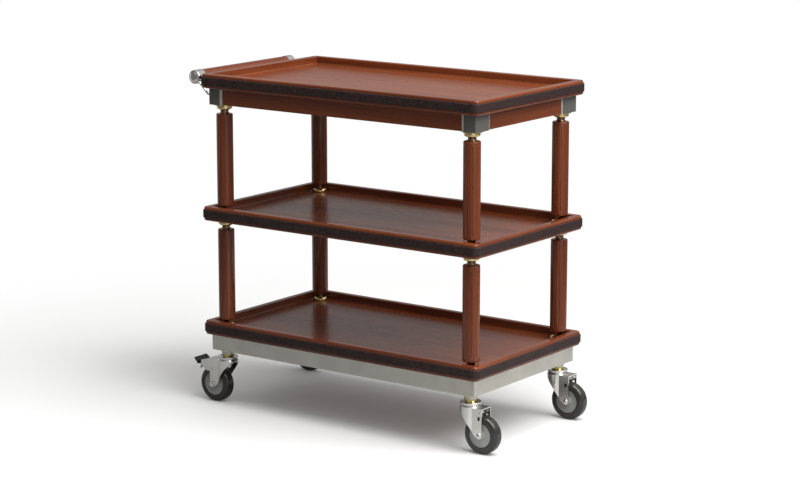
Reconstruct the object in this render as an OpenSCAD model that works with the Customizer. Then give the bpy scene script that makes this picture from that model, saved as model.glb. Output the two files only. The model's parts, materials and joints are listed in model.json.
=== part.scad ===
// Three-tier serving trolley. Length runs along X, the handle is at the -X end,
// depth runs along Y, and Z is up from the floor. All sizes are in millimetres.

/* [Trays] */
// Length of each tray over its bumper strip
tray_l = 900; // [760:10:1100]
// Width of each tray over its bumper strip
tray_w = 506; // [420:2:620]
// Height of a tray rail
tray_h = 38; // [34:1:46]
// Thickness of a tray's floor panel
floor_t = 18; // [12:1:22]
// Width of a tray rail, inner wall to outer wood face
rail_w = 20; // [16:1:28]
// Radius of a tray's outer wooden corners
corner_r = 14; // [8:0.5:15]
// Radius of a tray well's inner corners
well_r = 1; // [0.5:0.5:6]
// Rounding along a rail's outer edges
outer_edge_r = 5; // [2:0.5:6]
// Rounding along a rail's top inner edge
inner_edge_r = 2.5; // [1:0.5:4]
// Width of the cove strip round a floor panel, and its height above the panel
cove_w = 4.5; // [3:0.5:7]
// Thickness of a cove strip's thin upper and inner edges
cove_edge = 0.5; // [0.3:0.1:1]
// Gap between a cove strip and the collars that it is cut round
cove_gap = 0.5; // [0.3:0.1:1]

/* [Bumper strips] */
// Height of the rubber strip
bumper_h = 22; // [16:1:24]
// Distance that the strip stands proud of the wood
bumper_proud = 3; // [2:0.5:5]
// Depth of the groove that holds the strip
bumper_groove = 3; // [2:0.5:5]
// Rounding along the strip's outer edges
bumper_edge_r = 2; // [1:0.5:3]

/* [Columns] */
// Column diameter
column_d = 44.5; // [36:0.5:48]
// Column length
column_len = 249.5; // [200:0.5:320]
// Rounding at a column's ends
column_edge_r = 3; // [1:0.5:4]
// Number of grooves round a column
flutes = 10; // [8:1:14]
// Radius of the cutter that makes a groove
flute_r = 2; // [1.5:0.1:2.5]
// Depth of a groove
flute_depth = 1.3; // [0.8:0.1:1.4]
// Plain length left at each end of a column
flute_stop = 12; // [8:1:30]

/* [Collars] */
// Diameter of a collar's flange on a tray floor
foot_d = 42; // [34:1:46]
// Height of a foot flange
foot_h = 10; // [8:1:14]
// Height of the neck between a foot flange and its column
foot_neck_h = 12; // [6:1:16]
// Rounding round the top of a foot flange
foot_top_r = 5.5; // [3:0.5:6]
// Rounding round the bottom of a foot flange
foot_base_r = 2; // [1:0.5:2]
// Diameter of a collar's neck
neck_d = 22; // [18:1:26]
// Diameter of a collar's flange above a column
cap_flange_d = 42; // [34:1:46]
// Height of a collar above a column, without its neck
cap_h = 13; // [10:1:18]
// Height of the neck above a column
cap_neck_h = 11.5; // [8:0.5:20]
// Rounding round the bottom of a collar's flange above a column
cap_base_r = 5.5; // [3:0.5:6]
// Rounding round the top of that flange
cap_top_r = 1.5; // [0.5:0.5:2]
// Height of the flare at the foot of the neck above a column
flare_h = 4; // [2:0.5:6]
// Distance that the flare stands out beyond the neck
flare_out = 1; // [0.5:0.5:4]
// Height of the flare's plain rim
flare_rim = 1; // [0.5:0.5:1.5]
// Diameter of the round plate on top of a collar above a column
plate_d = 54; // [46:1:60]
// Thickness of that plate
plate_t = 2; // [1:0.5:3]
// Gap between a tray's inner wall and the foot flange, along the length
foot_gap_x = 5; // [4:1:14]
// Gap between a tray's inner wall and the foot flange, across the width
foot_gap_y = 4; // [3:1:14]

/* [Apron and corner blocks] */
// Corner block size along the length
block_x = 43; // [38:1:60]
// Corner block size across the width
block_y = 67; // [50:1:80]
// Corner block height
block_h = 45; // [40:1:60]
// Distance from a tray's bumper face to a block's outer face
block_inset = 20; // [12:1:21]
// Distance that a block stands proud of the apron
block_proud = 3; // [1:0.5:4]
// Length of a block's bevel down to the long apron board
bevel_x = 7; // [3:0.5:8]
// Length of a block's bevel down to the end apron board
bevel_y = 11; // [3:0.5:12]
// Thickness of an apron board
apron_t = 18; // [12:1:22]
// Distance that an apron board ends above a block's bottom
apron_lift = 1; // [0:0.5:4]

/* [Tie rods] */
// Diameter of the threaded rods through the columns
rod_d = 10; // [8:1:12]
// Clearance round a tie rod in the pieces it passes through, on the diameter
rod_play = 0.4; // [0.2:0.1:1]
// Depth of a tie rod's thread in its corner block
rod_grip = 30; // [20:1:36]
// Width across the flats of a tie rod's nut
nut_af = 17; // [15:1:20]
// Height of a nut on a tie rod or on a caster's stem
nut_h = 8; // [6:1:10]
// Length of thread that shows beyond a nut
thread_end = 4; // [2:0.5:6]

/* [Base] */
// Height of the steel base
base_h = 44; // [36:1:60]
// Distance from a tray's bumper face to the base's face
base_inset = 19; // [12:1:26]
// Thickness of the base's sheet
base_t = 2; // [1.5:0.5:3]
// Width of the base's folded flanges
base_flange = 15; // [10:1:20]
// Side of a caster's mounting plate
mount_plate = 90; // [70:1:120]
// Thickness of a caster's mounting plate
mount_plate_t = 4; // [3:0.5:6]

/* [Handle] */
// Distance from a tray's bumper face to the handle's axis
handle_out = 54; // [44:1:80]
// Distance of the handle's axis below the rim
handle_drop = 18; // [12:1:22]
// Diameter of the handle bar
bar_d = 36; // [30:1:37]
// Length of the handle bar
bar_len = 360; // [280:2:390]
// Diameter of the handle's end caps
knob_d = 38; // [37:1:44]
// Least straight length of an end cap, from the bar's end to its rounded edge
cap_straight = 9; // [8:0.5:14]
// Rounding round the end of a cap
cap_edge_r = 4; // [2:0.5:8]
// Height of the shallow dome on a cap's end
cap_dome = 1; // [0.5:0.5:3]
// Distance from a cap's rounded edge inward to the axis of its stay rod
stay_in = 4; // [3.5:0.5:5]
// Diameter of the spigot that holds the bar
spigot_d = 20; // [14:1:24]
// Length of the spigot
spigot_len = 16; // [10:1:20]
// Diameter of the handle's stay rods
stay_d = 6; // [5:0.5:9]
// Height above a corner block's bottom at which a stay rod enters it
stay_up = 22; // [12:1:28]
// Radius of a stay rod's bend
stay_bend = 10; // [6:1:16]
// Depth of a stay rod in its corner block
stay_grip = 12; // [8:1:14]
// Distance from a cap's middle to the inner end of its stay rod
stay_root = 6.5; // [4:0.5:10]
// Amount by which a stay rod swells in its bend, on the diameter
stay_swell = 0.1; // [0.05:0.05:0.3]

/* [Wheels] */
// Wheel diameter
wheel_d = 100; // [90:1:110]
// Tyre width
tyre_w = 32; // [26:1:32]
// Rounding of the tread
tread_r = 10; // [6:0.5:12]
// Hub diameter
hub_d = 62; // [54:1:68]
// Width across the hub's rim
hub_rim_w = 30; // [24:1:32]
// Depth of the dish in a hub's face
hub_dish = 2; // [1:0.5:3]
// Width of the lip round a hub's face
hub_lip = 3; // [2:0.5:5]
// Diameter of a hub's middle boss
boss_d = 24; // [20:1:30]
// Diameter of the axle sleeve that the hub runs on
sleeve_d = 12; // [10:1:14]
// Gap between a hub's boss and the fork's legs
boss_gap = 1; // [0.5:0.25:2]
// Rounding along a tyre's inner edges
bead_r = 1.5; // [0.5:0.5:3]
// Diameter of the axle bolt
bolt_d = 8; // [6:1:8]
// Diameter of the axle bolt's domed head
bolt_head_d = 13.5; // [12:0.5:16]
// Height of that head
bolt_head_h = 4; // [2:0.5:5]
// Width across the flats of the axle bolt's nut
bolt_nut_af = 13; // [11:1:15]
// Height of that nut
bolt_nut_h = 5; // [3:0.5:7]
// Length of the axle bolt beyond its nut
bolt_end = 2; // [1:0.5:4]
// Radial running clearance of wheels, swivels and brake levers
running_gap = 0.05; // [0.03:0.01:0.08]

/* [Caster forks] */
// Distance from a swivel's axis to its wheel's axle
trail = 39; // [34:1:44]
// Distance from the axle to a leg's straight trailing edge
leg_back = 9; // [8:0.5:12]
// Distance from the axle to a leg's leading edge
leg_lead = 17; // [14:0.5:20]
// Depth of the hollow in a leg's leading edge
leg_hollow = 4; // [1:0.5:6]
// Gap between a fork's legs
leg_gap = 37; // [36:0.5:44]
// Thickness of a fork's sheet
fork_t = 2.5; // [2:0.25:3]
// Radius of a fork's round crown
crown_r = 27.5; // [26:0.5:30]
// Space between the tyre and a fork's crown
crown_gap = 18; // [16:0.5:24]
// Height of the shoulder on a fork's crown
shoulder_h = 3.2; // [2:0.1:6]
// Height of the swivel's upper race
race_h = 5.5; // [4:0.5:8]
// Depth of the dish in the upper race
race_dish = 2.5; // [1:0.5:3]
// Height of the ridge under the upper race
ridge_h = 2; // [1:0.5:3]
// Gap between the ridge and the shoulder
race_gap = 0.3; // [0.2:0.05:0.4]
// Diameter of the upper race
race_d = 55.5; // [50:0.5:60]
// Rounding along the upper race's outer edges
race_edge_r = 1.5; // [0.5:0.5:2]
// Diameter of the ridge, at the middle of its width
ridge_d = 44.5; // [40:0.5:46]
// Width of the ridge
ridge_w = 4; // [2:0.5:6]
// Width of the ring under the race round the stem
seat_w = 3; // [2:0.5:5]
// Side of the slot in a fork's leg, along the trail
slot_w = 7; // [4:0.5:9]
// Height of that slot
slot_h = 10; // [6:0.5:14]
// Height of the slot's middle above the axle
slot_up = 45; // [40:1:50]
// Diameter of the hole in a fork's leg
hole_d = 4; // [3:0.5:6]
// Height of that hole above the axle
hole_up = 60; // [57:0.5:63]
// Distance of that hole behind the axle
hole_back = 2; // [0:0.5:4]

/* [Stems and bushes] */
// Diameter of the swivel's stem
stem_d = 12; // [10:1:14]
// Diameter of the stem's head under the crown
stem_head_d = 20; // [17:1:24]
// Height of that head
stem_head_h = 5; // [3:0.5:7]
// Width across the flats of the stem's nut
stem_nut_af = 19; // [17:1:24]
// Height of the bush's neck, above the race's dish
bush_neck_h = 10.5; // [8:0.5:16]
// Diameter of the bush's neck
bush_neck_d = 31; // [24:1:34]
// Height of the stem's collar, between the bush's neck and its flange
collar_h = 5; // [3:0.5:8]
// Diameter of the stem's collar
collar_d = 33; // [26:1:36]
// Height of the bush's flange, under the base
bush_flange_h = 6.5; // [4:0.5:10]
// Diameter of the bush's flange
bush_flange_d = 37; // [34:1:42]
// Rounding round the bottom of the bush's flange
bush_edge_r = 1.5; // [0.5:0.5:3]

/* [Brakes] */
// Distance from the axle back to the brake lever's pin
brake_back = 15; // [14:0.5:18]
// Height of that pin above the axle
brake_up = 60; // [58:0.5:62]
// Diameter of the brake pin
brake_pin_d = 6; // [5:0.5:7]
// Thickness of the brake housing's sheet
cheek_t = 1.5; // [1:0.25:1.75]
// Length of the housing behind the brake pin
housing_back = 30; // [28:1:34]
// Distance that the housing reaches forward past the axle, between the legs
housing_lap = 5; // [3:0.5:8]
// Height of the housing's lower edge above the axle
housing_low = 35; // [33:0.5:37]
// Distance from the brake pin back to where that edge starts to rise
housing_rise = 8; // [4:1:12]
// Distance of the housing's back corners below and above the brake pin
housing_nose = [13, 1];
// Gap between the fork's legs and the housing's top
housing_gap = 0.3; // [0.2:0.1:0.6]
// Length of the housing's level top before it slopes down to the pedal
housing_level = 3; // [2:0.5:5]
// Width of the brake lever
lever_w = 30; // [24:1:32]
// Wall of the brake lever round its pin
lever_wall = 3; // [2:0.5:4]
// Distance of the brake shoe's lower edge below the pin
shoe_drop = 20; // [18:0.5:21]
// Distances from the brake pin back to the front and back of the shoe's lower edge
shoe_span = [2, 17];
// Gap between the released brake shoe and the tyre
shoe_gap = 3.8; // [3.6:0.1:5]
// Width of the tongue that holds the pedal
tongue_w = 22; // [16:1:22]
// Thickness of that tongue at its end
tongue_t = 4; // [3:0.5:5]
// Distance from the tongue's end to the housing's back end
tongue_short = 4; // [3:0.5:6]
// Reach of the pedal from the brake pin
pedal_reach = 46; // [44:1:56]
// Width of the pedal
pedal_w = 50; // [40:1:60]
// Height of the pedal's tip above the brake pin
pedal_rise = 8; // [6:0.5:10]
// Thickness of the pedal where it leaves the housing
pedal_t = 8.5; // [7:0.5:9]
// Distance from the brake pin back to the pedal's front end
pedal_start = 13; // [12:0.5:16]
// Distance that the pedal's hanging lip reaches below the brake pin
lip_drop = 23; // [20:1:24]

/* [Hidden] */
$fn = 64;
eps = 0.01;
lap = 0.5;

// Horizontal sizes that follow from the driving ones
wood_l = tray_l - 2 * bumper_proud;
wood_w = tray_w - 2 * bumper_proud;
well_l = wood_l - 2 * rail_w;
well_w = wood_w - 2 * rail_w;
column_x = well_l / 2 - foot_gap_x - foot_d / 2;
column_y = well_w / 2 - foot_gap_y - foot_d / 2;
corner_in = rail_w - corner_r;
block_out_x = tray_l / 2 - block_inset;
block_out_y = tray_w / 2 - block_inset;
handle_x = -tray_l / 2 - handle_out;
cap_y = max(column_y, bar_len / 2 + cap_straight);
stay_y = cap_y - stay_in;
reach_left = max(
    tray_l / 2 + handle_out + knob_d / 2,
    column_x + trail + brake_back + pedal_reach
);
reach_right = max(tray_l / 2, column_x + trail + wheel_d / 2);
middle = (reach_left - reach_right) / 2;

// Heights, from the floor up
axle_z = wheel_d / 2;
crown_z = wheel_d + crown_gap;
shoulder_z = crown_z + fork_t;
race_z = shoulder_z + shoulder_h + race_gap + ridge_h;
bush_z = race_z + race_h - race_dish;
collar_z = bush_z + bush_neck_h;
base_z = collar_z + collar_h + bush_flange_h;
post_h = foot_h + foot_neck_h + column_len + cap_neck_h + cap_h;
low_z = base_z + base_h;
mid_z = low_z + floor_t + post_h;
block_z = mid_z + floor_t + post_h;
top_z = block_z + block_h;
rim_z = top_z + tray_h;
handle_z = rim_z - handle_drop;
stay_z = block_z + stay_up;
bore_d = rod_d + rod_play;

// Sizes of the casters
leg_out = leg_gap / 2 + fork_t;
leg_end = trail + leg_back;
brake_x = trail + brake_back;
brake_z = axle_z + brake_up;
housing_end = brake_x + housing_back;
tongue_end = housing_end - tongue_short;

// Left and right, front and back, and how far each caster is turned
LEFT = -1;
RIGHT = 1;
FRONT = -1;
BACK = 1;
function turned(side) = side == LEFT ? 180 : 0;

WOOD = "#7a3420";
DARK_RUBBER = "#33272a";
BRASS = "#d8b24a";
CHROME = "#cfd2d4";
STEEL = "#b4b1a6";
BLOCK_METAL = "#6e6d66";
TYRE = "#3d3b38";
HUB = "#8f9692";
BLACK = "#1d1c1b";

// Cutter for a rounded corner, with the corner at the origin and the stock in +X +Y
module corner_cut(r) {
    difference() {
        translate([-eps, -eps]) square(r + eps);
        translate([r, r]) circle(r);
    }
}

// Rectangle with rounded corners, centred on the origin
module round_rect(l, w, r) {
    square([l - 2 * r, w], center = true);
    square([l, w - 2 * r], center = true);
    for (sx = [-1, 1], sy = [-1, 1]) {
        translate([sx * (l / 2 - r), sy * (w / 2 - r)]) circle(r);
    }
}

// Section of a tray rail: X runs outward from the well's wall, Y is height
module rail_section() {
    difference() {
        square([rail_w, tray_h]);
        translate([rail_w, 0]) rotate(90) corner_cut(outer_edge_r);
        translate([rail_w, tray_h]) rotate(180) corner_cut(outer_edge_r);
        translate([0, tray_h]) rotate(270) corner_cut(inner_edge_r);
        translate([rail_w - bumper_groove, (tray_h - bumper_h) / 2])
            square([bumper_groove + eps, bumper_h]);
    }
}

// Section of the bumper strip, in the rail section's place
module bumper_section() {
    strip_t = bumper_groove + bumper_proud;
    translate([rail_w - bumper_groove, (tray_h - bumper_h) / 2]) difference() {
        square([strip_t, bumper_h]);
        translate([strip_t, 0]) rotate(90) corner_cut(bumper_edge_r);
        translate([strip_t, bumper_h]) rotate(180) corner_cut(bumper_edge_r);
    }
}

// One side of a frame round the well, whose section is the child, between its corners.
// The corners' centres lie a distance out from the well's wall
module side_run(half_run, half_across, out) {
    translate([0, half_across, 0]) rotate([90, 0, 90])
        linear_extrude(2 * (half_run + out), center = true) children();
}

// Rounded corner of that frame
module corner_run(half_run, half_across, out) {
    translate([half_run + out, half_across + out, 0])
        rotate_extrude(angle = 90) translate([-out, 0]) children();
}

// Whole frame round the well, whose section is the child
module well_frame(out) {
    for (turn = [0, 180]) rotate(turn) {
        side_run(well_l / 2, well_w / 2, out) children();
        corner_run(well_l / 2, well_w / 2, out) children();
        rotate(90) side_run(well_w / 2, well_l / 2, out) children();
        rotate(90) corner_run(well_w / 2, well_l / 2, out) children();
    }
}

// Wood that fills the corners between the rails' inner and outer parts
module corner_fill() {
    side = corner_in + well_r;
    for (mx = [0, 1], my = [0, 1]) mirror([mx, 0, 0]) mirror([0, my, 0])
        translate([well_l / 2 - well_r, well_w / 2 - well_r, 0]) linear_extrude(tray_h) difference() {
            square(side);
            circle(side - lap);
        }
}

// Four rails, mitred and glued into one frame. The inner part turns round the well's
// corners, and the outer part round centres of its own
module tray_rails(z) {
    color(WOOD) translate([middle, 0, z]) {
        well_frame(-well_r) intersection() {
            rail_section();
            square([corner_in, tray_h]);
        }
        corner_fill();
        well_frame(corner_in) intersection() {
            rail_section();
            translate([corner_in, 0]) square([corner_r, tray_h]);
        }
    }
}

module tray_bumper(z) {
    color(DARK_RUBBER) translate([middle, 0, z]) well_frame(corner_in) bumper_section();
}

module at_columns() {
    for (sx = [-1, 1], sy = [-1, 1]) translate([middle + sx * column_x, sy * column_y, 0]) children();
}

// Floor panel, which lies between the cove strips
module tray_floor(z, bored) {
    panel = [well_l - 2 * cove_w, well_w - 2 * cove_w, floor_t];
    color(WOOD) difference() {
        translate([middle - panel.x / 2, -panel.y / 2, z]) cube(panel);
        if (bored) at_columns() translate([0, 0, z - eps]) cylinder(d = bore_d, h = floor_t + 2 * eps);
    }
}

// Strip between one wall and the panel, hollow above the panel, cut to a mitre at both ends
module cove_side(half_run, half_across) {
    intersection() {
        translate([0, half_across - cove_w, 0]) rotate([90, 0, 90])
            linear_extrude(2 * half_run, center = true) difference() {
                square([cove_w, floor_t + cove_w]);
                translate([0, floor_t + cove_w]) circle(cove_w - cove_edge);
            }
        linear_extrude(floor_t + cove_w) polygon([
            [0, half_across - half_run], [half_run, half_across], [-half_run, half_across]
        ]);
    }
}

module tray_cove(z, footed) {
    color(WOOD) difference() {
        translate([middle, 0, z]) intersection() {
            linear_extrude(floor_t + cove_w) round_rect(well_l, well_w, well_r);
            for (turn = [0, 180]) rotate(turn) {
                cove_side(well_l / 2, well_w / 2);
                rotate(90) cove_side(well_w / 2, well_l / 2);
            }
        }
        if (footed) at_columns() translate([0, 0, z + floor_t])
            cylinder(d = foot_d + 2 * cove_gap, h = cove_w + eps);
    }
}

module apron_long_boards() {
    board_l = 2 * (block_out_x - block_x);
    color(WOOD) for (sy = [-1, 1]) translate([
        middle - board_l / 2,
        sy * (block_out_y - block_proud - apron_t / 2) - apron_t / 2,
        block_z + apron_lift
    ]) cube([board_l, apron_t, block_h - apron_lift]);
}

module apron_end_boards() {
    board_l = 2 * (block_out_y - block_y);
    color(WOOD) for (sx = [-1, 1]) translate([
        middle + sx * (block_out_x - block_proud - apron_t / 2) - apron_t / 2,
        -board_l / 2,
        block_z + apron_lift
    ]) cube([apron_t, board_l, block_h - apron_lift]);
}

// Corner block of the +X +Y corner, bevelled down to the apron, bored for its tie rod
module corner_block() {
    difference() {
        translate([block_out_x, block_out_y, 0]) linear_extrude(block_h) polygon([
            [0, 0], [0, bevel_y - block_y], [-block_proud, -block_y], [-block_x, -block_y],
            [-block_x, -block_proud], [bevel_x - block_x, 0]
        ]);
        translate([column_x, column_y, -eps]) cylinder(d = rod_d, h = rod_grip + eps);
    }
}

// The blocks at the handle's end are also bored for its stay rods
module corner_blocks() {
    color(BLOCK_METAL) translate([middle, 0, block_z]) difference() {
        for (mx = [0, 1], my = [0, 1]) mirror([mx, 0, 0]) mirror([0, my, 0]) corner_block();
        for (side = [FRONT, BACK]) translate([-block_out_x - eps, side * stay_y, stay_up])
            rotate([0, 90, 0]) cylinder(d = stay_d, h = stay_grip + eps);
    }
}

// Grooves along Z round a shaft of diameter d, between two heights
module flute_cutters(d, from, to) {
    for (i = [0 : flutes - 1]) rotate((i + 0.5) * 360 / flutes)
        translate([d / 2 + flute_r - flute_depth, 0, 0]) {
            translate([0, 0, from + flute_r]) cylinder(r = flute_r, h = to - from - 2 * flute_r, $fn = 24);
            translate([0, 0, from + flute_r]) sphere(r = flute_r, $fn = 24);
            translate([0, 0, to - flute_r]) sphere(r = flute_r, $fn = 24);
        }
}

module column_shape() {
    difference() {
        rotate_extrude() difference() {
            translate([bore_d / 2, 0]) square([(column_d - bore_d) / 2, column_len]);
            translate([column_d / 2, 0]) rotate(90) corner_cut(column_edge_r);
            translate([column_d / 2, column_len]) rotate(180) corner_cut(column_edge_r);
        }
        flute_cutters(column_d, flute_stop, column_len - flute_stop);
    }
}

module column(tier_z, sx, sy) {
    color(WOOD) translate([
        middle + sx * column_x, sy * column_y, tier_z + floor_t + foot_h + foot_neck_h
    ]) column_shape();
}

// Turned collar that stands on a tray floor and carries a column
module foot_collar() {
    rotate_extrude() difference() {
        union() {
            square([foot_d / 2, foot_h]);
            square([neck_d / 2, foot_h + foot_neck_h]);
        }
        translate([foot_d / 2, foot_h]) rotate(180) corner_cut(foot_top_r);
        translate([foot_d / 2, 0]) rotate(90) corner_cut(foot_base_r);
        square([bore_d / 2, foot_h + foot_neck_h]);
    }
}

module foot_collars(tier_z) {
    color(BRASS) at_columns() translate([0, 0, tier_z + floor_t]) foot_collar();
}

// Turned collar on top of a column, with a flared neck and a thin round plate
module cap_collar() {
    body_h = cap_h - plate_t;
    difference() {
        union() {
            rotate_extrude() difference() {
                union() {
                    square([neck_d / 2, cap_neck_h + body_h]);
                    polygon([
                        [0, 0], [neck_d / 2 + flare_out, 0], [neck_d / 2 + flare_out, flare_rim],
                        [neck_d / 2, flare_h], [0, flare_h]
                    ]);
                    translate([0, cap_neck_h]) square([cap_flange_d / 2, body_h]);
                }
                translate([cap_flange_d / 2, cap_neck_h]) rotate(90) corner_cut(cap_base_r);
                translate([cap_flange_d / 2, cap_neck_h + body_h]) rotate(180) corner_cut(cap_top_r);
            }
            translate([0, 0, cap_neck_h + body_h]) cylinder(d = plate_d, h = plate_t);
        }
        translate([0, 0, -eps]) cylinder(d = bore_d, h = cap_neck_h + cap_h + 2 * eps);
    }
}

// The collars between the columns and what they carry at a height
module cap_collars(height) {
    color(BRASS) at_columns() translate([0, 0, height - cap_h - cap_neck_h]) cap_collar();
}

// Threaded rods that clamp the tiers together, each with a nut under the bottom tray
module tie_rods() {
    rod_foot = low_z - nut_h - thread_end;
    color(STEEL) at_columns() {
        translate([0, 0, rod_foot]) cylinder(d = rod_d, h = block_z + rod_grip - rod_foot);
        translate([0, 0, low_z - nut_h]) difference() {
            cylinder(d = nut_af / cos(30), h = nut_h, $fn = 6);
            translate([0, 0, -eps]) cylinder(d = rod_d, h = nut_h + 2 * eps);
        }
    }
}

// Folded steel box under the bottom tray, with a mounting plate in each corner
module base_frame() {
    out_l = tray_l - 2 * base_inset;
    out_w = tray_w - 2 * base_inset;
    lip = base_t + base_flange;
    color(STEEL) translate([middle, 0, base_z]) difference() {
        union() {
            difference() {
                translate([-out_l / 2, -out_w / 2, 0]) cube([out_l, out_w, base_h]);
                translate([base_t - out_l / 2, base_t - out_w / 2, base_t])
                    cube([out_l - 2 * base_t, out_w - 2 * base_t, base_h - 2 * base_t]);
                translate([lip - out_l / 2, lip - out_w / 2, -eps])
                    cube([out_l - 2 * lip, out_w - 2 * lip, base_h + 2 * eps]);
            }
            for (mx = [0, 1], my = [0, 1]) mirror([mx, 0, 0]) mirror([0, my, 0])
                translate([out_l / 2 - mount_plate, out_w / 2 - mount_plate, 0])
                    cube([mount_plate, mount_plate, mount_plate_t]);
        }
        for (sx = [-1, 1], sy = [-1, 1]) translate([sx * column_x, sy * column_y, -eps])
            cylinder(d = stem_d, h = mount_plate_t + 2 * eps);
    }
}

// Fluted bar of the handle, bored at both ends for the caps' spigots
module handle_bar() {
    color(WOOD) translate([middle + handle_x, bar_len / 2, handle_z]) rotate([90, 0, 0]) difference() {
        cylinder(d = bar_d, h = bar_len);
        translate([0, 0, -eps]) cylinder(d = spigot_d, h = spigot_len + eps);
        translate([0, 0, bar_len - spigot_len]) cylinder(d = spigot_d, h = spigot_len + eps);
        flute_cutters(bar_d, flute_stop, bar_len - flute_stop);
    }
}

// Cap on one end of the bar, round at the edge and slightly domed at the end. Its straight
// part ends on the line of the columns, or beyond it on a long bar
module handle_cap(side) {
    turn = side == BACK ? 1 : 0;
    face_r = knob_d / 2 - cap_edge_r;
    dome_r = (face_r * face_r + cap_dome * cap_dome) / (2 * cap_dome);
    color(CHROME) translate([middle + handle_x, 0, handle_z]) mirror([0, turn, 0]) difference() {
        rotate([90, 0, 0]) rotate_extrude() {
            translate([0, bar_len / 2 - spigot_len]) square([spigot_d / 2, spigot_len]);
            translate([0, bar_len / 2]) square([knob_d / 2, cap_y - bar_len / 2]);
            translate([0, cap_y]) square([face_r, cap_edge_r]);
            translate([face_r, cap_y]) intersection() {
                circle(cap_edge_r);
                square(cap_edge_r);
            }
            translate([0, cap_y + cap_edge_r]) intersection() {
                translate([0, cap_dome - dome_r]) circle(dome_r, $fn = 512);
                square([face_r, cap_dome]);
            }
        }
        translate([0, -stay_y, 0]) rotate([0, 135, 0])
            translate([0, 0, stay_root]) cylinder(d = stay_d, h = knob_d);
    }
}

// Stay rod from a cap down at 45 degrees, round a bend, and level into a corner block.
// The bend is swollen a little, as a bent rod is, and laps over the straight lengths
module stay(side) {
    fall = handle_z - stay_z;
    bend_start = stay_bend * tan(22.5);
    slope_len = fall * sqrt(2) - bend_start - stay_root + lap;
    level_len = -block_out_x - (handle_x + fall + bend_start) + stay_grip + lap;
    color(CHROME) translate([middle + handle_x, side * stay_y, handle_z]) rotate([90, 0, 0]) {
        rotate(-45) translate([stay_root, 0, 0]) rotate([0, 90, 0]) cylinder(d = stay_d, h = slope_len);
        translate([fall + bend_start, stay_bend - fall, 0]) rotate(225)
            rotate_extrude(angle = 45) translate([stay_bend, 0]) circle(d = stay_d + stay_swell);
        translate([fall + bend_start - lap, -fall, 0]) rotate([0, 90, 0])
            cylinder(d = stay_d, h = level_len);
    }
}

// Brass bush in two pieces: a neck in the race's dish, and a flange under the base
module caster_bushes() {
    color(BRASS) at_columns() {
        translate([0, 0, bush_z]) rotate_extrude() translate([stem_d / 2, 0])
            square([(bush_neck_d - stem_d) / 2, bush_neck_h]);
        translate([0, 0, base_z - bush_flange_h]) rotate_extrude() difference() {
            translate([stem_d / 2, 0]) square([(bush_flange_d - stem_d) / 2, bush_flange_h]);
            translate([bush_flange_d / 2, 0]) rotate(90) corner_cut(bush_edge_r);
        }
    }
}

// Stem that carries a caster, with its nut in the base, its collar between the bush's two
// pieces and its head under the crown
module caster_stems() {
    nut_z = base_z + mount_plate_t;
    stem_z = crown_z - race_gap - stem_head_h;
    color(STEEL) at_columns() {
        translate([0, 0, stem_z]) cylinder(d = stem_d, h = nut_z + nut_h + thread_end - stem_z);
        translate([0, 0, stem_z]) cylinder(d = stem_head_d, h = stem_head_h);
        translate([0, 0, collar_z]) cylinder(d = collar_d, h = collar_h);
        translate([0, 0, nut_z]) cylinder(d = stem_nut_af / cos(30), h = nut_h, $fn = 6);
    }
}

// Dished upper race of a swivel, with the ridge that runs over the fork
module swivel_races() {
    dish_r = race_d / 2 - race_edge_r;
    dish_z = race_h - race_dish;
    color(CHROME) at_columns() translate([0, 0, race_z]) rotate_extrude() difference() {
        union() {
            translate([stem_d / 2, 0]) square([(race_d - stem_d) / 2, race_h]);
            translate([(ridge_d - ridge_w) / 2, -ridge_h]) square([ridge_w, ridge_h + eps]);
            translate([stem_d / 2, -ridge_h]) square([seat_w, ridge_h + eps]);
        }
        polygon([
            [0, dish_z], [dish_r - 2 * race_dish, dish_z], [dish_r, race_h],
            [dish_r, race_h + eps], [0, race_h + eps]
        ]);
        translate([race_d / 2, race_h]) rotate(180) corner_cut(race_edge_r);
        translate([race_d / 2, 0]) rotate(90) corner_cut(race_edge_r);
    }
}

// Places a caster's piece under a column. The wheel trails towards the near end
module at_caster(sx, sy) {
    translate([middle + sx * column_x, sy * column_y, 0]) rotate(turned(sx)) children();
}

// Outline of a fork seen from the side: X is along the trail, Y is height
module fork_side() {
    front = [-crown_r, crown_z];
    knee = [trail - leg_lead, axle_z + 1];
    // The hollow between the crown's front and the knee is an arc of a large circle
    chord = norm(front - knee);
    hollow_r = (chord * chord / 4 + leg_hollow * leg_hollow) / (2 * leg_hollow);
    inward = [front[1] - knee[1], knee[0] - front[0]] / chord;
    // The line from the knee meets the leg's rounded end where it is tangent to it
    dip = atan2(1, leg_lead) + asin(leg_back / norm([leg_lead, 1]));
    difference() {
        polygon([
            [front[0], shoulder_z], front, knee,
            [trail - leg_back * sin(dip), axle_z - leg_back * cos(dip)], [trail, axle_z],
            [leg_end, axle_z], [leg_end, shoulder_z]
        ]);
        translate((front + knee) / 2 - inward * (hollow_r - leg_hollow)) circle(hollow_r, $fn = 256);
    }
    translate([trail, axle_z]) circle(leg_back);
}

// Outline of a fork seen from above: a round crown and two legs that trail behind it
module fork_plan(crown, half) {
    circle(crown);
    translate([0, -half]) square([leg_end, 2 * half]);
}

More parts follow.
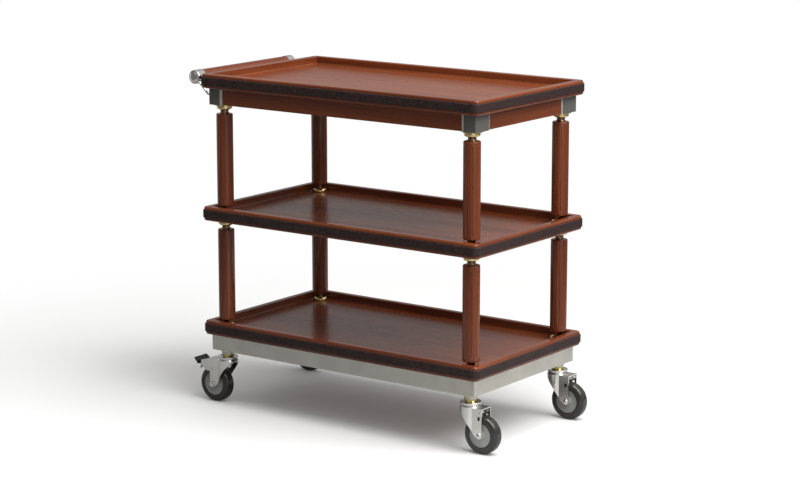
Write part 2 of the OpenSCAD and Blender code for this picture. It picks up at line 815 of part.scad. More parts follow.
module fork(sx, sy) {
    low = axle_z - leg_back;
    shoulder_r = crown_r - shoulder_h / 2;
    color(CHROME) at_caster(sx, sy) difference() {
        union() {
            intersection() {
                difference() {
                    translate([0, 0, low]) linear_extrude(shoulder_z - low) fork_plan(crown_r, leg_out);
                    translate([0, 0, low - eps]) linear_extrude(crown_z - low + eps) {
                        circle(crown_r - fork_t);
                        translate([0, -leg_gap / 2]) square([leg_end + eps, leg_gap]);
                    }
                }
                translate([0, leg_out + crown_r, 0]) rotate([90, 0, 0])
                    linear_extrude(2 * (leg_out + crown_r)) fork_side();
            }
            translate([0, 0, shoulder_z]) rotate_extrude() polygon([
                [0, 0], [crown_r, 0], [shoulder_r, shoulder_h], [0, shoulder_h]
            ]);
        }
        translate([0, 0, low]) cylinder(d = stem_d + 2 * running_gap, h = race_z);
        translate([trail, 0, axle_z]) rotate([90, 0, 0])
            cylinder(d = bolt_d, h = 4 * leg_out, center = true);
        translate([trail + hole_back, 0, axle_z + hole_up]) rotate([90, 0, 0])
            cylinder(d = hole_d, h = 4 * leg_out, center = true);
        translate([trail, 0, axle_z + slot_up]) cube([slot_w, 4 * leg_out, slot_h], center = true);
    }
}

// Axle bolt with its sleeve between the legs, a domed head and a nut
module axle(sx, sy) {
    head_r = bolt_head_d / 2;
    ball_r = (head_r * head_r + bolt_head_h * bolt_head_h) / (2 * bolt_head_h);
    color(CHROME) at_caster(sx, sy) translate([trail, 0, axle_z]) rotate([90, 0, 0]) {
        cylinder(d = sleeve_d, h = leg_gap, center = true);
        cylinder(d = bolt_d, h = 2 * leg_out, center = true);
        translate([0, 0, leg_out]) intersection() {
            cylinder(r = head_r, h = bolt_head_h);
            translate([0, 0, bolt_head_h - ball_r]) sphere(ball_r);
        }
        translate([0, 0, -leg_out - bolt_nut_h])
            cylinder(d = bolt_nut_af / cos(30), h = bolt_nut_h, $fn = 6);
        translate([0, 0, -leg_out - bolt_nut_h - bolt_end])
            cylinder(d = bolt_d, h = bolt_nut_h + bolt_end);
    }
}

module hub(sx, sy) {
    boss_w = leg_gap - 2 * boss_gap;
    color(HUB) at_caster(sx, sy) translate([trail, 0, axle_z]) rotate([90, 0, 0]) difference() {
        union() {
            cylinder(d = hub_d, h = hub_rim_w, center = true);
            cylinder(d = boss_d, h = boss_w, center = true);
        }
        for (end = [-1, 1]) translate([0, 0, end * (hub_rim_w - hub_dish) / 2]) difference() {
            cylinder(d = hub_d - 2 * hub_lip, h = hub_dish + eps, center = true);
            cylinder(d = boss_d, h = 2 * hub_dish, center = true);
        }
        cylinder(r = sleeve_d / 2 + running_gap, h = leg_gap, center = true);
    }
}

module tyre(sx, sy) {
    wall = (wheel_d - hub_d) / 2;
    color(TYRE) at_caster(sx, sy) translate([trail, 0, axle_z]) rotate([90, 0, 0]) rotate_extrude($fn = 96)
        translate([hub_d / 2, -tyre_w / 2]) difference() {
            square([wall, tyre_w]);
            translate([wall, 0]) rotate(90) corner_cut(tread_r);
            translate([wall, tyre_w]) rotate(180) corner_cut(tread_r);
            corner_cut(bead_r);
            translate([0, tyre_w]) rotate(270) corner_cut(bead_r);
        }
}

// Outline of the brake housing's cheeks
module cheek_side() {
    start = leg_end + housing_gap;
    difference() {
        polygon([
            [trail - housing_lap, axle_z + housing_low], [brake_x + housing_rise, axle_z + housing_low],
            [housing_end - housing_level, brake_z - housing_nose[0]],
            [housing_end, brake_z + housing_nose[1]],
            [start + housing_level, shoulder_z], [start, shoulder_z], [start, crown_z],
            [trail - housing_lap, crown_z]
        ]);
        translate([brake_x, brake_z]) circle(d = brake_pin_d);
    }
}

// Outline of the room between the cheeks, open below and behind and closed by the sheet on top
module room_side() {
    start = leg_end + housing_gap;
    polygon([
        [0, axle_z], [housing_end + cheek_t, axle_z],
        [housing_end + cheek_t, brake_z + housing_nose[1] - cheek_t],
        [start + housing_level, shoulder_z - cheek_t], [start, shoulder_z - cheek_t],
        [start, shoulder_z], [0, shoulder_z]
    ]);
}

// Folded housing between the fork's legs, which carries the brake lever's pin
module brake_bracket(sx, sy) {
    color(CHROME) at_caster(sx, sy) {
        translate([0, leg_gap / 2, 0]) rotate([90, 0, 0]) difference() {
            linear_extrude(leg_gap) cheek_side();
            translate([0, 0, cheek_t]) linear_extrude(leg_gap - 2 * cheek_t) room_side();
        }
        translate([brake_x, 0, brake_z]) rotate([90, 0, 0])
            cylinder(d = brake_pin_d, h = leg_gap, center = true);
    }
}

// Plate across a caster, whose side view is the child
module across(width) {
    translate([0, width / 2, 0]) rotate([90, 0, 0]) linear_extrude(width) children();
}

// Outline of the tongue on which the pedal is pressed, just under the line of the pin
module tongue_side() {
    polygon([
        [brake_x, brake_z - tongue_t - 1], [tongue_end, brake_z - tongue_t - 3],
        [tongue_end, brake_z - 3], [brake_x, brake_z]
    ]);
}

// Outline of the brake lever, with its shoe hollowed to the tyre
module lever_side() {
    boss_r = brake_pin_d / 2 + lever_wall;
    translate([brake_x, brake_z]) circle(boss_r);
    difference() {
        polygon([
            [brake_x - 4, brake_z], [brake_x + shoe_span[0], brake_z - shoe_drop],
            [brake_x + shoe_span[1], brake_z - shoe_drop], [brake_x + 2 * boss_r, brake_z - boss_r],
            [brake_x + 4, brake_z + 4]
        ]);
        translate([trail, axle_z]) circle(wheel_d / 2 + shoe_gap, $fn = 128);
    }
}

// Steel lever on the brake pin, with its shoe over the tyre and its tongue in the pedal
module brake_lever(sx, sy) {
    color(STEEL) at_caster(sx, sy) difference() {
        union() {
            across(lever_w) lever_side();
            across(tongue_w) tongue_side();
        }
        translate([brake_x, 0, brake_z]) rotate([90, 0, 0])
            cylinder(r = brake_pin_d / 2 + running_gap, h = 2 * lever_w, center = true);
    }
}

// Outline of the pedal's neck, between the housing's cheeks, with the lip that hangs behind
module pedal_neck_side() {
    polygon([
        [brake_x + pedal_start, brake_z - 8], [housing_end - 6, brake_z - 11],
        [housing_end - 3, brake_z - lip_drop + 3], [housing_end + 5, brake_z - lip_drop],
        [housing_end + 5, brake_z - lip_drop + 2], [housing_end, brake_z - lip_drop + 5],
        [housing_end + 3, brake_z - 10], [housing_end + 3, brake_z - 2],
        [brake_x + pedal_start, brake_z]
    ]);
}

// Outline of the pedal's tip, a wedge that rises to a blunt end
module pedal_tip_side() {
    tip_x = brake_x + pedal_reach;
    start = housing_end + 2.5;
    polygon([
        [start, brake_z - pedal_t - 0.5], [start + 2.5, brake_z - pedal_t + 0.5],
        [tip_x, brake_z + pedal_rise - 2], [tip_x, brake_z + pedal_rise - 0.5],
        [tip_x - 1.5, brake_z + pedal_rise], [start, brake_z - 0.5]
    ]);
}

// Black foot pedal: a narrow neck between the housing's cheeks and a wide tip
module brake_pedal(sx, sy) {
    color(BLACK) at_caster(sx, sy) difference() {
        union() {
            across(lever_w) pedal_neck_side();
            across(pedal_w) pedal_tip_side();
        }
        across(tongue_w) tongue_side();
    }
}

tray_floor(top_z, false);  // top_tray_floor
tray_rails(top_z);  // top_tray_rails
tray_cove(top_z, false);  // top_tray_cove
tray_bumper(top_z);  // top_tray_bumper
tray_floor(mid_z, true);  // middle_tray_floor
tray_rails(mid_z);  // middle_tray_rails
tray_cove(mid_z, true);  // middle_tray_cove
tray_bumper(mid_z);  // middle_tray_bumper
tray_floor(low_z, true);  // bottom_tray_floor
tray_rails(low_z);  // bottom_tray_rails
tray_cove(low_z, true);  // bottom_tray_cove
tray_bumper(low_z);  // bottom_tray_bumper
apron_long_boards();
apron_end_boards();
corner_blocks();
column(mid_z, LEFT, FRONT);  // upper_column_front_left
column(mid_z, RIGHT, FRONT);  // upper_column_front_right
column(mid_z, LEFT, BACK);  // upper_column_back_left
column(mid_z, RIGHT, BACK);  // upper_column_back_right
column(low_z, LEFT, FRONT);  // lower_column_front_left
column(low_z, RIGHT, FRONT);  // lower_column_front_right
column(low_z, LEFT, BACK);  // lower_column_back_left
column(low_z, RIGHT, BACK);  // lower_column_back_right
cap_collars(block_z);  // apron_collars
cap_collars(mid_z);  // tray_collars
foot_collars(mid_z);  // upper_foot_collars
foot_collars(low_z);  // lower_foot_collars
tie_rods();
base_frame();
handle_bar();
handle_cap(FRONT);  // handle_cap_front
handle_cap(BACK);  // handle_cap_back
stay(FRONT);  // handle_stay_front
stay(BACK);  // handle_stay_back
caster_bushes();
caster_stems();
swivel_races();
fork(LEFT, FRONT);  // fork_front_left
axle(LEFT, FRONT);  // axle_front_left
hub(LEFT, FRONT);  // hub_front_left
tyre(LEFT, FRONT);  // tyre_front_left
fork(RIGHT, FRONT);  // fork_front_right
axle(RIGHT, FRONT);  // axle_front_right
hub(RIGHT, FRONT);  // hub_front_right
tyre(RIGHT, FRONT);  // tyre_front_right
fork(LEFT, BACK);  // fork_back_left
axle(LEFT, BACK);  // axle_back_left
hub(LEFT, BACK);  // hub_back_left
tyre(LEFT, BACK);  // tyre_back_left
fork(RIGHT, BACK);  // fork_back_right
axle(RIGHT, BACK);  // axle_back_right
hub(RIGHT, BACK);  // hub_back_right
tyre(RIGHT, BACK);  // tyre_back_right
brake_bracket(LEFT, FRONT);  // brake_bracket_front_left
brake_lever(LEFT, FRONT);  // brake_lever_front_left
brake_pedal(LEFT, FRONT);  // brake_pedal_front_left
brake_bracket(LEFT, BACK);  // brake_bracket_back_left
brake_lever(LEFT, BACK);  // brake_lever_back_left
brake_pedal(LEFT, BACK);  // brake_pedal_back_left
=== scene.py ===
# %% [markdown]
# # A three-tier serving trolley
# This lesson dresses a serving trolley of stained wood, brass and chrome. The solids that come
# with the frame already have their true size and place, so a cell here does one of two things:
# it gives a finish, or it makes a finer mesh for a piece whose plain solid isn't enough.

import json
import math

import bmesh
import bpy
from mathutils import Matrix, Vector


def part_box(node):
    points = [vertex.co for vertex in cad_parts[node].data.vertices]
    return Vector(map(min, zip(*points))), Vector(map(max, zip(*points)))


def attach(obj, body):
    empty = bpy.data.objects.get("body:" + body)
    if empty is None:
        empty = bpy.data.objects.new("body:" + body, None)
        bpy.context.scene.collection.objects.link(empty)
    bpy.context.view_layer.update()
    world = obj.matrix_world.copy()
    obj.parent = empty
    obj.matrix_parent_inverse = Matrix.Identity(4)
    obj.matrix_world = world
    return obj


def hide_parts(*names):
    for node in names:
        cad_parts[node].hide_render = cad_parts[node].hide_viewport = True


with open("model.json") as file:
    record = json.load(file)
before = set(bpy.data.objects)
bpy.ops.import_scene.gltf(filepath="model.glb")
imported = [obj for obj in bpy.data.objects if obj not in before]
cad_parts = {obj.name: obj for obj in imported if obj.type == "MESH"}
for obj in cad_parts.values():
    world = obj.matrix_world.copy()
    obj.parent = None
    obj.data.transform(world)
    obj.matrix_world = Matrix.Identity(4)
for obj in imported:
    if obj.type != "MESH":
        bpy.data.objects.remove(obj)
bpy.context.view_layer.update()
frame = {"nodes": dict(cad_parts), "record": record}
scene = bpy.context.scene

# %% [markdown]
# ## The camera
# The photographer stood a good way off, to the right of the trolley's front, and used a long
# lens, so that upright edges stay upright and the far corner is almost as large as the near
# one. Two angles and a place say all of it: the camera looks along +Y at azimuth zero, and it
# isn't shifted or rolled.

# %% Place the camera
AZIMUTH = math.radians(36.09)
ELEVATION = math.radians(11.33)
CAMERA_PLACE = Vector((3.767, -5.104, 1.736))
LENS = 108.8
SENSOR_WIDTH = 36

camera_data = bpy.data.cameras.new("camera")
camera_data.lens = LENS
camera_data.sensor_width = SENSOR_WIDTH
camera = bpy.data.objects.new("camera", camera_data)
camera.location = CAMERA_PLACE
camera.rotation_euler = (math.pi / 2 - ELEVATION, 0, AZIMUTH)
scene.collection.objects.link(camera)
scene.camera = camera
print("camera to the floor under the trolley:", round(CAMERA_PLACE.length, 2), "m")

# %% [markdown]
# ## Writing shader maths as arithmetic
# A finish such as varnished wood is a sum and product of patterns. Wired by hand that is dozens
# of small Math nodes, so two classes take over the wiring. A `Wire` stands for one output
# socket, and Python's own operators on it add the Math nodes. A `Tree` is the node tree being
# filled, and its `add` method adds every kind of node.

# %% Two classes for shader trees
class Wire:
    """One output socket of a node tree, which takes part in arithmetic."""

    def __init__(self, tree, socket):
        self.tree = tree
        self.socket = socket

    def maths(self, operation, *values):
        return self.tree.add("Math", {"operation": operation}, dict(enumerate(values)))

    def __add__(self, other):
        return self.maths("ADD", self, other)

    def __radd__(self, other):
        return self.maths("ADD", other, self)

    def __sub__(self, other):
        return self.maths("SUBTRACT", self, other)

    def __rsub__(self, other):
        return self.maths("SUBTRACT", other, self)

    def __mul__(self, other):
        return self.maths("MULTIPLY", self, other)

    def __rmul__(self, other):
        return self.maths("MULTIPLY", other, self)

    def __pow__(self, other):
        return self.maths("POWER", self, other)

    def __abs__(self):
        return self.maths("ABSOLUTE", self)

    def above(self, other):
        return self.maths("GREATER_THAN", self, other)

    def highest(self, other):
        return self.maths("MAXIMUM", self, other)

    def step(self, start, end):
        """Rises smoothly from 0 where this is at start to 1 where it is at end."""
        ends = {"Value": self, "From Min": start, "From Max": end}
        return self.tree.add("MapRange", {"interpolation_type": "SMOOTHSTEP"}, ends)


class Tree:
    """A node tree that is being filled."""

    def __init__(self, owner):
        owner.use_nodes = True
        self.nodes = owner.node_tree.nodes
        self.links = owner.node_tree.links
        self.nodes.clear()

    def add(self, kind, settings=None, sockets=None, out=0):
        """Adds a node, sets it up, fills its sockets with values or wires, and gives an output."""
        node = self.nodes.new("ShaderNode" + kind)
        for name, value in (settings or {}).items():
            if name == "stops":
                self.fill_ramp(node.color_ramp, value)
            else:
                setattr(node, name, value)
        for name, value in (sockets or {}).items():
            if isinstance(value, Wire):
                self.links.new(value.socket, node.inputs[name])
            else:
                node.inputs[name].default_value = value
        return Wire(self, node.outputs[out]) if node.outputs else None

    @staticmethod
    def fill_ramp(ramp, stops):
        while len(ramp.elements) < len(stops):
            ramp.elements.new(1)
        for element, (position, colour) in zip(ramp.elements, stops):
            element.position = position
            element.color = (*colour, 1)

    def mix(self, factor, first, second):
        """Mixes two colours. A colour is a Wire, or a tuple of three numbers."""
        full = [c if isinstance(c, Wire) else (*c, 1) for c in (first, second)]
        return self.add("Mix", {"data_type": "RGBA"}, {0: factor, 6: full[0], 7: full[1]}, out=2)


print("shader trees are ready")

# %% [markdown]
# ## The studio
# The photograph shows the trolley on a white floor that has no edge: close to it the floor
# carries a soft grey shadow, and further off it is pure white. So the floor is a matt surface
# near the trolley and turns, with distance, into a plain white that needs no lamp.
#
# Polished metal is only as good as what it mirrors. In an all white room chrome looks like
# paper, so a photographer keeps the studio dim at eye height and lights it from above. Here
# the room is bright overhead and has three pale panels, at the left, at the right front and,
# wide and faint, at the back left. One function of direction says so. The world follows it,
# and so does the floor in all that it gives back to the trolley, while the camera sees that
# floor as white. Close by, the floor is bright in every mirror, and brightest towards the
# back right.

# %% Make the floor and the world
FLOOR_SIZE = 60
SHADOW_REACH = (0.9, 2.1)
LEAST_WHITE = 0.07
NEAR_FLOOR = (1.0, 3.0)
NEAR_LEVEL, NEAR_CHANGE = 0.54, 0.15
FLOOR_COLOUR = (0.93, 0.93, 0.92)
OVERHEAD = Vector((0.40, 0.10, 0.91))
OVERHEAD_EDGE = (0.2, 0.95)
RIGHT_BACK = Vector((0.59, 0.81, 0.0))
PANELS = (
    (Vector((-0.99, 0.08, -0.08)), 0.85, 0.45),
    (Vector((0.81, -0.58, -0.05)), 0.85, 0.45),
    (Vector((-0.57, 0.79, 0.20)), 0.60, 0.18),
)
DIM, BRIGHT = 0.17, 0.73
WHITE = (1, 1, 1, 1)


def towards(tree, direction, side):
    """1 where a direction points to a side, 0 across it and -1 away from it."""
    pair = {0: direction, 1: side}
    return tree.add("VectorMath", {"operation": "DOT_PRODUCT"}, pair, out="Value")


def studio_light(tree, direction):
    """How bright the studio is in a direction."""
    light = DIM + (BRIGHT - DIM) * towards(tree, direction, OVERHEAD).step(*OVERHEAD_EDGE)
    for side, edge, strength in PANELS:
        light = light + strength * towards(tree, direction, side).step(edge, 1.0)
    return light


def ray_kind(tree, kind):
    """1 for rays of a kind, such as Camera or Glossy, and 0 for the rest."""
    return tree.add("LightPath", out=f"Is {kind} Ray")


world = bpy.data.worlds.new("studio")
scene.world = world
tree = Tree(world)
studio = studio_light(tree, tree.add("TexCoord", out="Generated"))
shown = ray_kind(tree, "Camera").highest(ray_kind(tree, "Transmission"))
sky = tree.add("Background", None, {"Color": WHITE, "Strength": studio + (1 - studio) * shown})
tree.add("OutputWorld", None, {"Surface": sky})

floor_mesh = bpy.data.meshes.new("floor")
half = FLOOR_SIZE / 2
corners = [(-half, -half, 0), (half, -half, 0), (half, half, 0), (-half, half, 0)]
floor_mesh.from_pydata(corners, [], [(0, 1, 2, 3)])
floor = bpy.data.objects.new("floor", floor_mesh)
scene.collection.objects.link(floor)

floor_finish = bpy.data.materials.new("floor")
tree = Tree(floor_finish)
place = tree.add("TexCoord", out="Object")
distance = tree.add("VectorMath", {"operation": "LENGTH"}, {0: place}, out="Value")
outward = tree.add("VectorMath", {"operation": "NORMALIZE"}, {0: place}, out=0)
shown = ray_kind(tree, "Camera").highest(ray_kind(tree, "Transmission"))
mirrored = ray_kind(tree, "Glossy")
near = 1 - distance.step(*NEAR_FLOOR)
near_level = NEAR_LEVEL + NEAR_CHANGE * towards(tree, outward, RIGHT_BACK)
level = studio_light(tree, outward).highest(near_level * near * mirrored)
strength = level + (1 - level) * shown
tint = tree.mix(strength, (0, 0, 0), FLOOR_COLOUR)
matt = tree.add("BsdfDiffuse", None, {"Color": tint})
white = tree.add("Emission", None, {"Color": WHITE, "Strength": strength})
far_off = LEAST_WHITE + (1 - LEAST_WHITE) * distance.step(*SHADOW_REACH)
surface = tree.add("MixShader", None, {0: far_off * shown.highest(mirrored), 1: matt, 2: white})
tree.add("OutputMaterial", None, {"Surface": surface})
floor_mesh.materials.append(floor_finish)
print("floor:", FLOOR_SIZE, "m wide, pure white from", SHADOW_REACH[1], "m out")

# %% [markdown]
# ## The lamps
# The shadow on the floor is short and very soft and falls to the left, so the main lamp is
# large, stands at the right and hangs about as high as it is far. Two wide strip lamps hang
# side by side over the trolley's right end. They add little light, but they draw the crisp
# highlights on the rim, the tyres and the metal, as a window with two panes would. The world
# fills in the rest.

# %% Hang the lamps
AIM = Vector((0, 0, 0.45))


def hang_lamp(name, place, size, power, length=None):
    """A round lamp, or with a length a strip, that points at the trolley."""
    lamp = bpy.data.lights.new(name, "AREA")
    lamp.shape = "RECTANGLE" if length else "DISK"
    lamp.size = size
    if length:
        lamp.size_y = length
    lamp.energy = power
    holder = bpy.data.objects.new(name, lamp)
    holder.location = place
    holder.rotation_euler = (AIM - Vector(place)).to_track_quat("-Z", "Y").to_euler()
    scene.collection.objects.link(holder)
    print(name, "lamp:", power, "W from", place)


hang_lamp("key", (2.75, -0.25, 3.6), 3.6, 158)
hang_lamp("front_pane", (0.9, -0.85, 4.0), 2.2, 28, length=0.7)
hang_lamp("back_pane", (0.9, 0.05, 4.0), 2.2, 28, length=0.7)

# %% [markdown]
# ## Stained and varnished wood
# Every wooden piece is cut with its grain along its length, as a joiner does it for strength.
# Mahogany shows three things at three scales: broad bands of lighter and darker growth, finer
# streaks, and short dark pores. Each is a noise pattern that is stretched along the grain. The
# stain is red-brown, and the satin varnish over it gives a soft reflection.

# %% Wood
# Of each pattern: how fine it is across the grain and along it, its detail and its roughness
BANDS = (26, 0.9, 3, 0.55)
STREAKS = (190, 4.5, 3, 0.6)
PORES = (900, 40, 1, 0.5)
STAIN = (
    (0.0, (0.240, 0.060, 0.017)),
    (0.45, (0.195, 0.044, 0.012)),
    (1.0, (0.120, 0.024, 0.008)),
)
PORE_COLOUR = (0.035, 0.010, 0.006)
MITRE_COLOUR = (0.02, 0.006, 0.004)
MITRE_WIDTH = 0.0004
BUMP_DEPTH = 0.0002


def grain_axis_scale(axis, across, along):
    return tuple(along if i == axis else across for i in range(3))


def wood_pattern(tree, place, axis):
    """How dark the wood is, 0 to 1, and how open its pores are, with the grain along an axis."""

    def noise(across, along, detail, roughness):
        scale = grain_axis_scale(axis, across, along)
        stretched = tree.add("VectorMath", {"operation": "MULTIPLY"}, {0: place, 1: scale})
        return tree.add("TexNoise", None, {
            "Vector": stretched, "Scale": 1.0, "Detail": detail, "Roughness": roughness
        }, out=0)

    bands = noise(*BANDS).step(0.30, 0.70)
    streaks = noise(*STREAKS).step(0.30, 0.72)
    pores = noise(*PORES).step(0.60, 0.72)
    return 0.62 * bands + 0.38 * streaks, pores


def wood_finish(name, axis, gloss=0.08, stained=1.0, well=None):
    """Wood with its grain along an axis. A well's half sizes give a mitred frame instead."""
    finish = bpy.data.materials.new(name)
    tree = Tree(finish)
    place = tree.add("TexCoord", out="Object")
    dark, pores = wood_pattern(tree, place, axis)
    if well:
        end_dark, end_pores = wood_pattern(tree, place, 1)
        centre = Vector((well[2], 0, 0))
        spot = tree.add("VectorMath", {"operation": "SUBTRACT"}, {0: place, 1: centre})
        x = tree.add("SeparateXYZ", None, {0: spot}, out=0)
        y = tree.add("SeparateXYZ", None, {0: spot}, out=1)
        beyond = (abs(x) - well[0]) - (abs(y) - well[1])
        on_end = beyond.above(0.0)
        dark = dark + (end_dark - dark) * on_end
        pores = pores + (end_pores - pores) * on_end
        groove = 1 - abs(beyond).step(0.0, MITRE_WIDTH)
    stops = [(position, tuple(stained * c for c in colour)) for position, colour in STAIN]
    stain = tree.add("ValToRGB", {"stops": stops}, {0: dark})
    stain = tree.mix(0.55 * pores, stain, PORE_COLOUR)
    height = 1 - 0.6 * pores
    if well:
        stain = tree.mix(0.7 * groove, stain, MITRE_COLOUR)
        height = height - 1.5 * groove
    relief = {"Strength": 0.25, "Distance": BUMP_DEPTH, "Height": height}
    normal = tree.add("Bump", None, relief, out=0)
    varnish = tree.add("BsdfPrincipled", None, {
        "Base Color": stain, "Roughness": gloss + 0.06 * dark + 0.15 * pores,
        "Normal": normal
    })
    tree.add("OutputMaterial", None, {"Surface": varnish})
    return finish


print("wood is ready")

# %% [markdown]
# ## Metals, rubber and plastic
# The collars are polished brass, the casters and the handle's fittings are chrome plate, the
# base is brushed steel and the corner blocks are dark painted metal. No metal is the same all
# over: handling leaves faint smears that change its gloss and brushing leaves fine lines. The
# brass necks, tucked between collar and column, and the casters' brass bushes get a painted
# shade: a dark colour that stands for their shade and the dark reflection they hold. The
# bumper strip and the tyres are rubber with a fine grain.

# %% Metal, rubber and plastic
# How soft the edge of the painted shade on the brass necks is
PAINTED_SHADE_EDGE = 0.0005

joints = frame["record"]["behaviour"]["joints"]
swivels = [joint["pos_m"] for joint in joints if "swivel" in joint["name"]]
COLUMN_LINES = []
for values in ([place[0] for place in swivels], [place[1] for place in swivels]):
    COLUMN_LINES.append(((max(values) + min(values)) / 2, (max(values) - min(values)) / 2))


def near_columns(tree, place, radius):
    """1 inside a radius round the upright lines through the columns and casters, and 0 outside."""
    across = []
    for index, (middle, reach) in enumerate(COLUMN_LINES):
        across.append(abs(tree.add("SeparateXYZ", None, {0: place}, out=index) - middle) - reach)
    distance = (across[0] * across[0] + across[1] * across[1]) ** 0.5
    return 1 - distance.step(radius - PAINTED_SHADE_EDGE, radius + PAINTED_SHADE_EDGE)


def surface_finish(name, colour, roughness, metallic=0.0, smear=0.08, grain=0.0, grain_scale=900,
                   brushed=None, level=0.5, mottle=0.0, painted_shade=None):
    """A finish with smears in its gloss, a fine grain or brushed lines, and if asked a painted
    shade round the columns.
    """
    finish = bpy.data.materials.new(name)
    tree = Tree(finish)
    place = tree.add("TexCoord", out="Object")
    smears = {"Vector": place, "Scale": 28, "Detail": 4}
    clouds = tree.add("TexNoise", None, smears, out=0).step(0.3, 0.7)
    fine_place = place
    if brushed is not None:
        scale = grain_axis_scale(brushed, 1, 0.02)
        fine_place = tree.add("VectorMath", {"operation": "MULTIPLY"}, {0: place, 1: scale})
    grains = {"Vector": fine_place, "Scale": grain_scale, "Detail": 2}
    fine = tree.add("TexNoise", None, grains, out=0)
    shade = tree.mix(clouds * (0.25 + mottle), colour, tuple(0.78 * c for c in colour))
    if mottle:
        shade = tree.mix(fine.step(0.42, 0.62) * mottle, shade, tuple(3.2 * c for c in colour))
    # Painted shade and painted dark reflection: a dark colour within a radius of the column lines
    if painted_shade:
        radius, painted_shade_colour = painted_shade
        shade = tree.mix(near_columns(tree, place, radius), shade, painted_shade_colour)
    sockets = {
        "Base Color": shade, "Metallic": metallic, "Specular IOR Level": level,
        "Roughness": roughness + smear * clouds + 0.5 * smear * fine
    }
    if grain:
        sockets["Normal"] = tree.add(
            "Bump", None, {"Strength": grain, "Distance": BUMP_DEPTH, "Height": fine}, out=0
        )
    body = tree.add("BsdfPrincipled", None, sockets)
    tree.add("OutputMaterial", None, {"Surface": body})
    return finish


BRASS = (0.90, 0.70, 0.34)
# Painted shade and painted dark reflection on the necks and bushes: radius and colour
NECK_PAINTED_SHADE = (0.0125, (0.26, 0.16, 0.09))
BUSH_PAINTED_SHADE = (0.0165, (0.46, 0.37, 0.15))
brass = surface_finish("brass", BRASS, 0.06, 1.0, smear=0.05, painted_shade=NECK_PAINTED_SHADE)
bush_brass = surface_finish("bush_brass", BRASS, 0.06, 1.0, smear=0.05, painted_shade=BUSH_PAINTED_SHADE)
chrome = surface_finish("chrome", (0.80, 0.785, 0.745), 0.06, 1.0, smear=0.05)
steel = surface_finish("brushed_steel", (0.64, 0.62, 0.565), 0.30, 1.0, grain=0.12, brushed=0)
zinc = surface_finish("zinc", (0.55, 0.56, 0.57), 0.32, 1.0, grain=0.1)
block_paint = surface_finish("block_paint", (0.15, 0.145, 0.13), 0.34, 0.15, grain=0.04, level=0.2)
bumper_rubber = surface_finish(
    "bumper_rubber", (0.020, 0.011, 0.010), 0.50, grain=1.0, grain_scale=330, level=0.3, mottle=0.9
)
tyre_rubber = surface_finish("tyre_rubber", (0.034, 0.030, 0.026), 0.13, smear=0.04, level=0.6)
hub_plastic = surface_finish("hub_plastic", (0.44, 0.45, 0.425), 0.36, grain=0.10)
pedal_plastic = surface_finish(
    "pedal_plastic", (0.012, 0.012, 0.012), 0.38, grain=0.5, grain_scale=500
)
print("finishes:", [m.name for m in bpy.data.materials])

# %% [markdown]
# ## Dressing the solids
# Most of the trolley's solids already have the right shape, so they keep their mesh and only
# change their finish. The choice follows the record's material slots, except for the wood, where
# each piece also needs to know which way its grain runs.

# %% Give every solid its finish
SLOT_FINISH = {
    "bumper": bumper_rubber, "brass": brass, "chrome": chrome, "steel": steel, "block": block_paint,
    "zinc": zinc, "tyre": tyre_rubber, "hub": hub_plastic, "pedal": pedal_plastic
}
ALONG_X, ALONG_Y, ALONG_Z = range(3)

well_low, well_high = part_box("top_tray_cove")
well_half = (well_high - well_low) / 2
well_middle = (well_high + well_low).x / 2
WELL = (well_half.x, well_half.y, well_middle)

wood_x = wood_finish("wood_along_length", ALONG_X)
wood_y = wood_finish("wood_across", ALONG_Y)
wood_z = wood_finish("wood_upright", ALONG_Z)
wood_panel = wood_finish("wood_panel", ALONG_X, gloss=0.20, stained=1.15)
wood_frame = wood_finish("wood_frame", ALONG_X, well=WELL)


def wood_for(node):
    if "column" in node:
        return wood_z
    if node.endswith("tray_floor"):
        return wood_panel
    if node.endswith("rails") or node.endswith("cove"):
        return wood_frame
    if node in ("handle_bar", "apron_end_boards"):
        return wood_y
    return wood_x


node_slot = {row["node"]: row["material_slot"] for row in frame["record"]["subparts"]}
for node, piece in frame["nodes"].items():
    piece.data.materials.clear()
    finish = bush_brass if node == "caster_bushes" else SLOT_FINISH.get(node_slot[node])
    piece.data.materials.append(finish or wood_for(node))
print("dressed", len(frame["nodes"]), "solids")

# %% [markdown]
# ## Pieces with softened edges
# Cut boards, folded steel and ground blocks never have a perfectly sharp edge. A fine bevel of
# half a millimetre catches the light and draws each edge as a thin bright line. These pieces
# are copies of the solids: flat neighbours are joined into whole faces first, and then every
# sharp edge gets a narrow rounding. The corner blocks are painted, but their cut edges beside
# the wood are bare, so a narrow strip of each sloping face gets a bright metal.

# %% Soften the edges of boards, blocks and the base
EDGE_ANGLE = math.radians(30)
FLAT_ANGLE = math.radians(0.5)
SAME_PLACE = 1e-6
BOARD_EDGE, BASE_EDGE, BLOCK_EDGE = 0.0006, 0.0005, 0.0004
BARE_WIDTH = 0.004


def flat_faced_copy(source, name):
    """A copy of a solid's mesh with its flat neighbours joined into whole faces."""
    form = bmesh.new()
    form.from_mesh(source.data)
    bmesh.ops.remove_doubles(form, verts=form.verts, dist=SAME_PLACE)
    bmesh.ops.dissolve_limit(form, angle_limit=FLAT_ANGLE, verts=form.verts, edges=form.edges)
    mesh = bpy.data.meshes.new(name)
    form.to_mesh(mesh)
    form.free()
    if "custom_normal" in mesh.attributes:
        mesh.attributes.remove(mesh.attributes["custom_normal"])
    return mesh


def soften(node, width):
    """A copy of a solid with its sharp edges rounded, which stands in for the solid."""
    source = frame["nodes"][node]
    name = node + "_soft"
    mesh = flat_faced_copy(source, name)
    piece = bpy.data.objects.new(name, mesh)
    scene.collection.objects.link(piece)
    piece.matrix_world = source.matrix_world.copy()
    mesh.materials.append(source.data.materials[0])
    mesh.shade_smooth()
    edge = piece.modifiers.new("edge", "BEVEL")
    edge.width = width
    edge.segments = 2
    edge.limit_method = "ANGLE"
    edge.angle_limit = EDGE_ANGLE
    edge.harden_normals = True
    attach(piece, "frame")
    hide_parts(node)
    print(node, "has", len(mesh.polygons), "faces before its edges are rounded")
    return piece


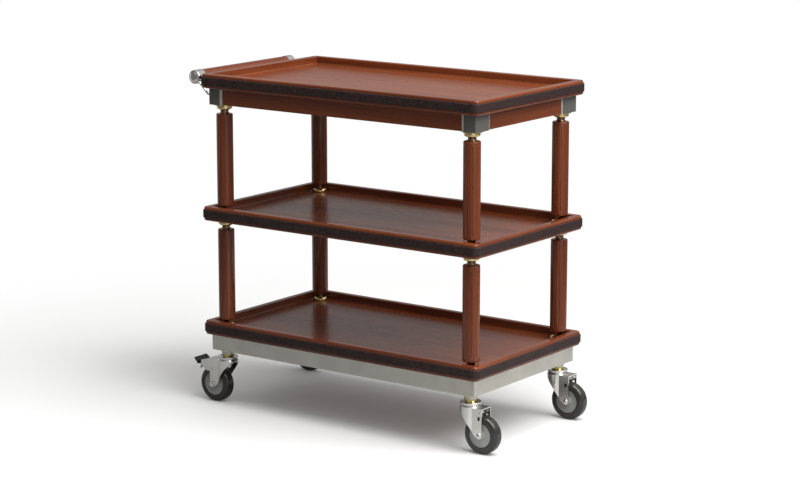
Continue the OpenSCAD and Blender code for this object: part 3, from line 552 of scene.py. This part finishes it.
def bare_cut_edges(piece, metal, inner_y):
    """Gives the sloping faces beside the wood their bare metal, as a strip of even width."""
    form = bmesh.new()
    form.from_mesh(piece.data)
    for side in (-1, 1):
        cut = form.verts[:] + form.edges[:] + form.faces[:]
        place = (0, side * (inner_y + BARE_WIDTH), 0)
        bmesh.ops.bisect_plane(
            form, geom=cut, plane_co=place, plane_no=(0, 1, 0), dist=SAME_PLACE
        )
    for face in form.faces:
        x, y = abs(face.normal.x), abs(face.normal.y)
        strip = y > x or abs(face.calc_center_median().y) < inner_y + BARE_WIDTH
        face.material_index = int(min(x, y) > 0.1 and strip)
    form.to_mesh(piece.data)
    form.free()
    piece.data.materials.append(metal)


bare_metal = surface_finish("bare_metal", (0.70, 0.68, 0.64), 0.30, 0.5, smear=0.05)
for node in ("apron_long_boards", "apron_end_boards"):
    soften(node, BOARD_EDGE)
soften("base_frame", BASE_EDGE)
blocks = soften("corner_blocks", BLOCK_EDGE)
inner_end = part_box("apron_end_boards")[1].y
bare_cut_edges(blocks, bare_metal, inner_end)
print("the blocks' bare strips begin", round(1000 * inner_end), "mm from the middle")

# %% [markdown]
# ## Domed plugs in the handle's caps
# The handle's chrome caps look like a bright ring round a small dome. Here the dome is a plug
# that closes the cap. It is turned, so its mesh is a profile swept round an axis: rings of
# points, joined ring by ring up to one point on top.

# %% Turn the plugs
PLUG_R, PLUG_H, PLUG_SEAT = 0.0148, 0.0055, 0.0011
PLUG_RINGS, PLUG_SIDES = 14, 72


def turned_dome(name, centre, outward):
    """A shallow dome that stands on a face, with its top towards outward, -1 or 1 along Y."""
    dome_r = (PLUG_R ** 2 + PLUG_H ** 2) / (2 * PLUG_H)
    widest = math.asin(PLUG_R / dome_r)
    points, faces = [], []
    for ring in range(PLUG_RINGS):
        tilt = widest * (1 - ring / PLUG_RINGS)
        radius = dome_r * math.sin(tilt)
        rise = outward * (dome_r * (math.cos(tilt) - 1) + PLUG_H)
        for side in range(PLUG_SIDES):
            turn = math.tau * side / PLUG_SIDES
            points.append(centre + Vector((radius * math.cos(turn), rise, radius * math.sin(turn))))
    points.append(centre + Vector((0, outward * PLUG_H, 0)))
    for ring in range(PLUG_RINGS):
        low, high = ring * PLUG_SIDES, (ring + 1) * PLUG_SIDES
        for side in range(PLUG_SIDES):
            after = (side + 1) % PLUG_SIDES
            if ring < PLUG_RINGS - 1:
                faces.append((low + side, low + after, high + after, high + side))
            else:
                faces.append((low + side, low + after, len(points) - 1))
    if outward > 0:
        faces = [face[::-1] for face in faces]
    mesh = bpy.data.meshes.new(name)
    mesh.from_pydata(points, [], faces)
    mesh.shade_smooth()
    mesh.materials.append(chrome)
    plug = bpy.data.objects.new(name, mesh)
    scene.collection.objects.link(plug)
    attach(plug, "frame")
    print(name, "is", round(2000 * PLUG_R, 1), "mm wide and made of", len(faces), "faces")


for name, outward in (("front", -1), ("back", 1)):
    low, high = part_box("handle_cap_" + name)
    centre = (low + high) / 2
    end = low.y if outward < 0 else high.y
    seat = Vector((centre.x, end - outward * PLUG_SEAT, centre.z))
    turned_dome("cap_plug_" + name, seat, outward)

# %% [markdown]
# ## Finish
# The picture's colours go through the Standard view transform.

# %% Set the view transform
scene.view_settings.view_transform = "Standard"
